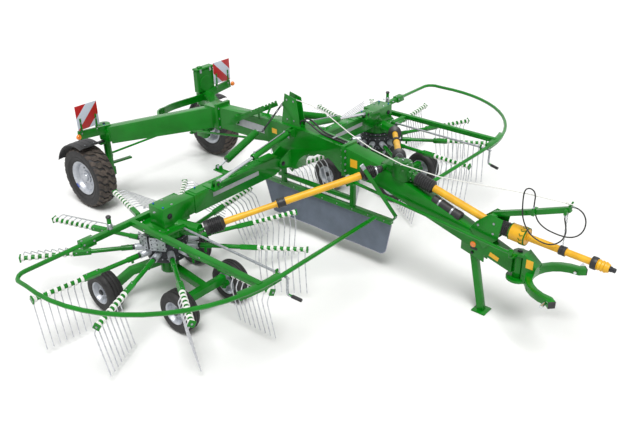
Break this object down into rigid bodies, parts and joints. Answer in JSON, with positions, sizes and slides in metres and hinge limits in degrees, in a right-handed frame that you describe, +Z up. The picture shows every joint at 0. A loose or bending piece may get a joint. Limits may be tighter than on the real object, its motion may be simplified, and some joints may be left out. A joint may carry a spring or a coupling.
{
  "type": "twin rotor hay rake",
  "caption": "Towed twin rotor hay rake with folding booms, tined rotors on small wheel sets, a centre curtain, a rear steering axle and a yoke hitch.",
  "frame": {"origin": "on the ground under the middle of the machine's overall box", "axes": "+Z up, -Y to the front where the hitch is, +X to the machine's left side"},
  "size_m": [6.2386, 6.2641, 1.63],
  "materials": {
    "green_paint": "gloss",
    "silver_steel": "satin",
    "black_rubber": "matte",
    "tyre_rubber": "matte",
    "yellow_guard": "satin",
    "board_red_white": "satin",
    "curtain_cloth": "matte"
  },
  "bodies": {
    "frame": {"front_beam": "green_paint", "centre_frame": "green_paint", "rear_frame": "green_paint", "gearbox": "green_paint", "shaft_bracket": "green_paint", "front_shaft": "yellow_guard", "curtain_frame": "green_paint", "curtain": "curtain_cloth", "right_board": "board_red_white", "left_board": "board_red_white", "hose_one": "black_rubber", "hose_two": "black_rubber", "pull_rope": "silver_steel"},
    "headstock": {"headstock": "green_paint"},
    "stand": {"stand": "green_paint"},
    "steering_rod": {"steering_rod": "green_paint"},
    "drag_link": {"drag_link": "green_paint"},
    "track_rod": {"track_rod": "green_paint"},
    "right_knuckle": {"right_knuckle": "green_paint", "right_mudguard": "black_rubber"},
    "right_rear_wheel": {"right_rear_rim": "silver_steel", "right_rear_tyre": "tyre_rubber"},
    "right_boom": {"right_boom": "green_paint"},
    "right_head": {"right_rotor_head": "green_paint", "right_guard": "green_paint", "right_bogie": "green_paint"},
    "right_rotor": {"right_rotor": "green_paint"},
    "right_wheel_rear_outer": {"right_wheel_rear_outer": "tyre_rubber"},
    "right_wheel_front_outer": {"right_wheel_front_outer": "tyre_rubber"},
    "right_wheel_front_inner": {"right_wheel_front_inner": "tyre_rubber"},
    "right_wheel_rear_inner": {"right_wheel_rear_inner": "tyre_rubber"},
    "right_lift_barrel": {"right_lift_barrel": "green_paint"},
    "right_lift_rod": {"right_lift_rod": "silver_steel"},
    "right_spring": {"right_spring": "green_paint"},
    "right_chain": {"right_chain": "silver_steel"},
    "right_shaft_joint": {"right_shaft_joint": "black_rubber"},
    "right_shaft_tube": {"right_shaft_tube": "yellow_guard"},
    "right_shaft_collar": {"right_shaft_collar": "black_rubber"},
    "right_shaft_slide": {"right_shaft_slide": "yellow_guard"},
    "left_knuckle": {"left_knuckle": "green_paint", "left_mudguard": "black_rubber"},
    "left_rear_wheel": {"left_rear_rim": "silver_steel", "left_rear_tyre": "tyre_rubber"},
    "left_boom": {"left_boom": "green_paint"},
    "left_head": {"left_rotor_head": "green_paint", "left_guard": "green_paint", "left_bogie": "green_paint"},
    "left_rotor": {"left_rotor": "green_paint"},
    "left_wheel_rear_outer": {"left_wheel_rear_outer": "tyre_rubber"},
    "left_wheel_front_outer": {"left_wheel_front_outer": "tyre_rubber"},
    "left_wheel_front_inner": {"left_wheel_front_inner": "tyre_rubber"},
    "left_wheel_rear_inner": {"left_wheel_rear_inner": "tyre_rubber"},
    "left_lift_barrel": {"left_lift_barrel": "green_paint"},
    "left_lift_rod": {"left_lift_rod": "silver_steel"},
    "left_spring": {"left_spring": "green_paint"},
    "left_chain": {"left_chain": "silver_steel"},
    "left_shaft_joint": {"left_shaft_joint": "black_rubber"},
    "left_shaft_tube": {"left_shaft_tube": "yellow_guard"},
    "left_shaft_collar": {"left_shaft_collar": "black_rubber"},
    "left_shaft_slide": {"left_shaft_slide": "yellow_guard"}
  },
  "joints": [
    {"name": "hitch_yaw", "type": "hinge", "parent": "frame", "child": "headstock", "pos_m": [0, -2.34, 0.585], "axis": [0, 0, 1], "range_deg": [-60, 60]},
    {"name": "stand_fold", "type": "hinge", "parent": "frame", "child": "stand", "pos_m": [0, -1.9, 0.6], "axis": [1, 0, 0], "range_deg": [0, 90]},
    {"name": "steering_rod_slide", "type": "slide", "parent": "frame", "child": "steering_rod", "axis": [0, 0.9957, 0.0927], "range_m": [-0.12, 0.12]},
    {"name": "drag_link_slide", "type": "slide", "parent": "frame", "child": "drag_link", "axis": [0, 1, 0], "range_m": [-0.13, 0.13]},
    {"name": "track_rod_slide", "type": "slide", "parent": "frame", "child": "track_rod", "axis": [1, 0, 0], "range_m": [-0.11, 0.11]},
    {"name": "right_steering", "type": "hinge", "parent": "frame", "child": "right_knuckle", "pos_m": [-0.76, 2.62, 0.375], "axis": [0, 0, 1], "range_deg": [-30, 30]},
    {"name": "right_rear_wheel_spin", "type": "hinge", "parent": "right_knuckle", "child": "right_rear_wheel", "pos_m": [-1, 2.7, 0.375], "axis": [1, 0, 0], "continuous": true},
    {"name": "right_boom_fold", "type": "hinge", "parent": "frame", "child": "right_boom", "pos_m": [-0.2, 0.36, 0.93], "axis": [0, 1, 0], "range_deg": [0, 85]},
    {"name": "right_telescope", "type": "slide", "parent": "right_boom", "child": "right_head", "axis": [-1, 0, 0], "range_m": [0, 0.5]},
    {"name": "right_rotor_spin", "type": "hinge", "parent": "right_head", "child": "right_rotor", "pos_m": [-1.66, 0.44, 0.57], "axis": [0, 0, 1], "continuous": true},
    {"name": "right_wheel_rear_outer_spin", "type": "hinge", "parent": "right_head", "child": "right_wheel_rear_outer", "pos_m": [-2.21, 0.74, 0.203], "axis": [1, 0, 0], "continuous": true},
    {"name": "right_wheel_front_outer_spin", "type": "hinge", "parent": "right_head", "child": "right_wheel_front_outer", "pos_m": [-1.98, -0.06, 0.203], "axis": [1, 0, 0], "continuous": true},
    {"name": "right_wheel_front_inner_spin", "type": "hinge", "parent": "right_head", "child": "right_wheel_front_inner", "pos_m": [-1.34, -0.06, 0.203], "axis": [1, 0, 0], "continuous": true},
    {"name": "right_wheel_rear_inner_spin", "type": "hinge", "parent": "right_head", "child": "right_wheel_rear_inner", "pos_m": [-1.11, 0.74, 0.203], "axis": [1, 0, 0], "continuous": true},
    {"name": "right_lift_barrel_swing", "type": "hinge", "parent": "frame", "child": "right_lift_barrel", "pos_m": [-0.12, 0.24, 1.27], "axis": [0, 1, 0], "range_deg": [0, 100]},
    {"name": "right_lift_stroke", "type": "slide", "parent": "right_lift_barrel", "child": "right_lift_rod", "axis": [-0.984, 0, -0.1781], "range_m": [-0.43, 0]},
    {"name": "right_spring_swing", "type": "hinge", "parent": "right_boom", "child": "right_spring", "pos_m": [-0.87, 0.52, 1.06], "axis": [0, 1, 0], "range_deg": [0, 34]},
    {"name": "right_chain_swing", "type": "hinge", "parent": "frame", "child": "right_chain", "pos_m": [-0.03, 0.415, 1.51], "axis": [0, 1, 0], "range_deg": [-30, 0]},
    {"name": "right_shaft_fold", "type": "hinge", "parent": "frame", "child": "right_shaft_joint", "pos_m": [-0.165, -0.93, 1.2], "axis": [-0.0574, 0.995, -0.0819], "range_deg": [0, 92]},
    {"name": "right_shaft_sweep", "type": "hinge", "parent": "right_shaft_joint", "child": "right_shaft_tube", "pos_m": [-0.165, -0.93, 1.2], "axis": [0, 0.3746, 0.9272], "range_deg": [0, 9]},
    {"name": "right_shaft_collar_slide", "type": "slide", "parent": "right_shaft_tube", "child": "right_shaft_collar", "axis": [-0.7809, 0.5791, -0.234], "range_m": [-0.29, 0]},
    {"name": "right_shaft_slide", "type": "slide", "parent": "right_shaft_collar", "child": "right_shaft_slide", "axis": [-0.7809, 0.5791, -0.234], "range_m": [0, 0.42]},
    {"name": "left_steering", "type": "hinge", "parent": "frame", "child": "left_knuckle", "pos_m": [0.76, 2.62, 0.375], "axis": [0, 0, 1], "range_deg": [-30, 30]},
    {"name": "left_rear_wheel_spin", "type": "hinge", "parent": "left_knuckle", "child": "left_rear_wheel", "pos_m": [1, 2.7, 0.375], "axis": [1, 0, 0], "continuous": true},
    {"name": "left_boom_fold", "type": "hinge", "parent": "frame", "child": "left_boom", "pos_m": [0.2, 0.36, 0.93], "axis": [0, -1, 0], "range_deg": [0, 85]},
    {"name": "left_telescope", "type": "slide", "parent": "left_boom", "child": "left_head", "axis": [1, 0, 0], "range_m": [0, 0.5]},
    {"name": "left_rotor_spin", "type": "hinge", "parent": "left_head", "child": "left_rotor", "pos_m": [1.66, 0.44, 0.57], "axis": [0, 0, 1], "continuous": true},
    {"name": "left_wheel_rear_outer_spin", "type": "hinge", "parent": "left_head", "child": "left_wheel_rear_outer", "pos_m": [2.21, 0.74, 0.203], "axis": [1, 0, 0], "continuous": true},
    {"name": "left_wheel_front_outer_spin", "type": "hinge", "parent": "left_head", "child": "left_wheel_front_outer", "pos_m": [1.98, -0.06, 0.203], "axis": [1, 0, 0], "continuous": true},
    {"name": "left_wheel_front_inner_spin", "type": "hinge", "parent": "left_head", "child": "left_wheel_front_inner", "pos_m": [1.34, -0.06, 0.203], "axis": [1, 0, 0], "continuous": true},
    {"name": "left_wheel_rear_inner_spin", "type": "hinge", "parent": "left_head", "child": "left_wheel_rear_inner", "pos_m": [1.11, 0.74, 0.203], "axis": [1, 0, 0], "continuous": true},
    {"name": "left_lift_barrel_swing", "type": "hinge", "parent": "frame", "child": "left_lift_barrel", "pos_m": [0.12, 0.24, 1.27], "axis": [0, -1, 0], "range_deg": [0, 100]},
    {"name": "left_lift_stroke", "type": "slide", "parent": "left_lift_barrel", "child": "left_lift_rod", "axis": [0.984, 0, -0.1781], "range_m": [-0.43, 0]},
    {"name": "left_spring_swing", "type": "hinge", "parent": "left_boom", "child": "left_spring", "pos_m": [0.87, 0.52, 1.06], "axis": [0, -1, 0], "range_deg": [0, 34]},
    {"name": "left_chain_swing", "type": "hinge", "parent": "frame", "child": "left_chain", "pos_m": [0.03, 0.415, 1.51], "axis": [0, -1, 0], "range_deg": [-30, 0]},
    {"name": "left_shaft_fold", "type": "hinge", "parent": "frame", "child": "left_shaft_joint", "pos_m": [0.165, -0.93, 1.2], "axis": [-0.0574, -0.995, 0.0819], "range_deg": [0, 92]},
    {"name": "left_shaft_sweep", "type": "hinge", "parent": "left_shaft_joint", "child": "left_shaft_tube", "pos_m": [0.165, -0.93, 1.2], "axis": [0, -0.3746, -0.9272], "range_deg": [0, 9]},
    {"name": "left_shaft_collar_slide", "type": "slide", "parent": "left_shaft_tube", "child": "left_shaft_collar", "axis": [0.7809, 0.5791, -0.234], "range_m": [-0.29, 0]},
    {"name": "left_shaft_slide", "type": "slide", "parent": "left_shaft_collar", "child": "left_shaft_slide", "axis": [0.7809, 0.5791, -0.234], "range_m": [0, 0.42]}
  ],
  "couplings": [
    {"joint": "steering_rod_slide", "follows": "hitch_yaw", "m_per_rad": -0.1},
    {"joint": "drag_link_slide", "follows": "hitch_yaw", "m_per_rad": 0.117},
    {"joint": "track_rod_slide", "follows": "hitch_yaw", "m_per_rad": 0.09},
    {"joint": "right_steering", "follows": "hitch_yaw", "ratio": -0.45},
    {"joint": "right_lift_barrel_swing", "follows": "right_boom_fold", "ratio": 1.1635},
    {"joint": "right_lift_stroke", "follows": "right_boom_fold", "m_per_rad": -0.2881},
    {"joint": "right_spring_swing", "follows": "right_boom_fold", "ratio": 0.386},
    {"joint": "right_chain_swing", "follows": "right_boom_fold", "ratio": -0.334},
    {"joint": "right_shaft_fold", "follows": "right_boom_fold", "ratio": 1.0683},
    {"joint": "right_shaft_collar_slide", "follows": "right_boom_fold", "m_per_rad": -0.1929},
    {"joint": "right_shaft_sweep", "follows": "right_telescope", "rad_per_m": 0.29527},
    {"joint": "right_shaft_slide", "follows": "right_telescope", "ratio": 0.827},
    {"joint": "left_steering", "follows": "hitch_yaw", "ratio": -0.45},
    {"joint": "left_lift_barrel_swing", "follows": "left_boom_fold", "ratio": 1.1635},
    {"joint": "left_lift_stroke", "follows": "left_boom_fold", "m_per_rad": -0.2881},
    {"joint": "left_spring_swing", "follows": "left_boom_fold", "ratio": 0.386},
    {"joint": "left_chain_swing", "follows": "left_boom_fold", "ratio": -0.334},
    {"joint": "left_shaft_fold", "follows": "left_boom_fold", "ratio": 1.0683},
    {"joint": "left_shaft_collar_slide", "follows": "left_boom_fold", "m_per_rad": -0.1929},
    {"joint": "left_shaft_sweep", "follows": "left_telescope", "rad_per_m": 0.29527},
    {"joint": "left_shaft_slide", "follows": "left_telescope", "ratio": 0.827},
    {"joint": "left_rotor_spin", "follows": "right_rotor_spin", "ratio": -1}
  ]
}
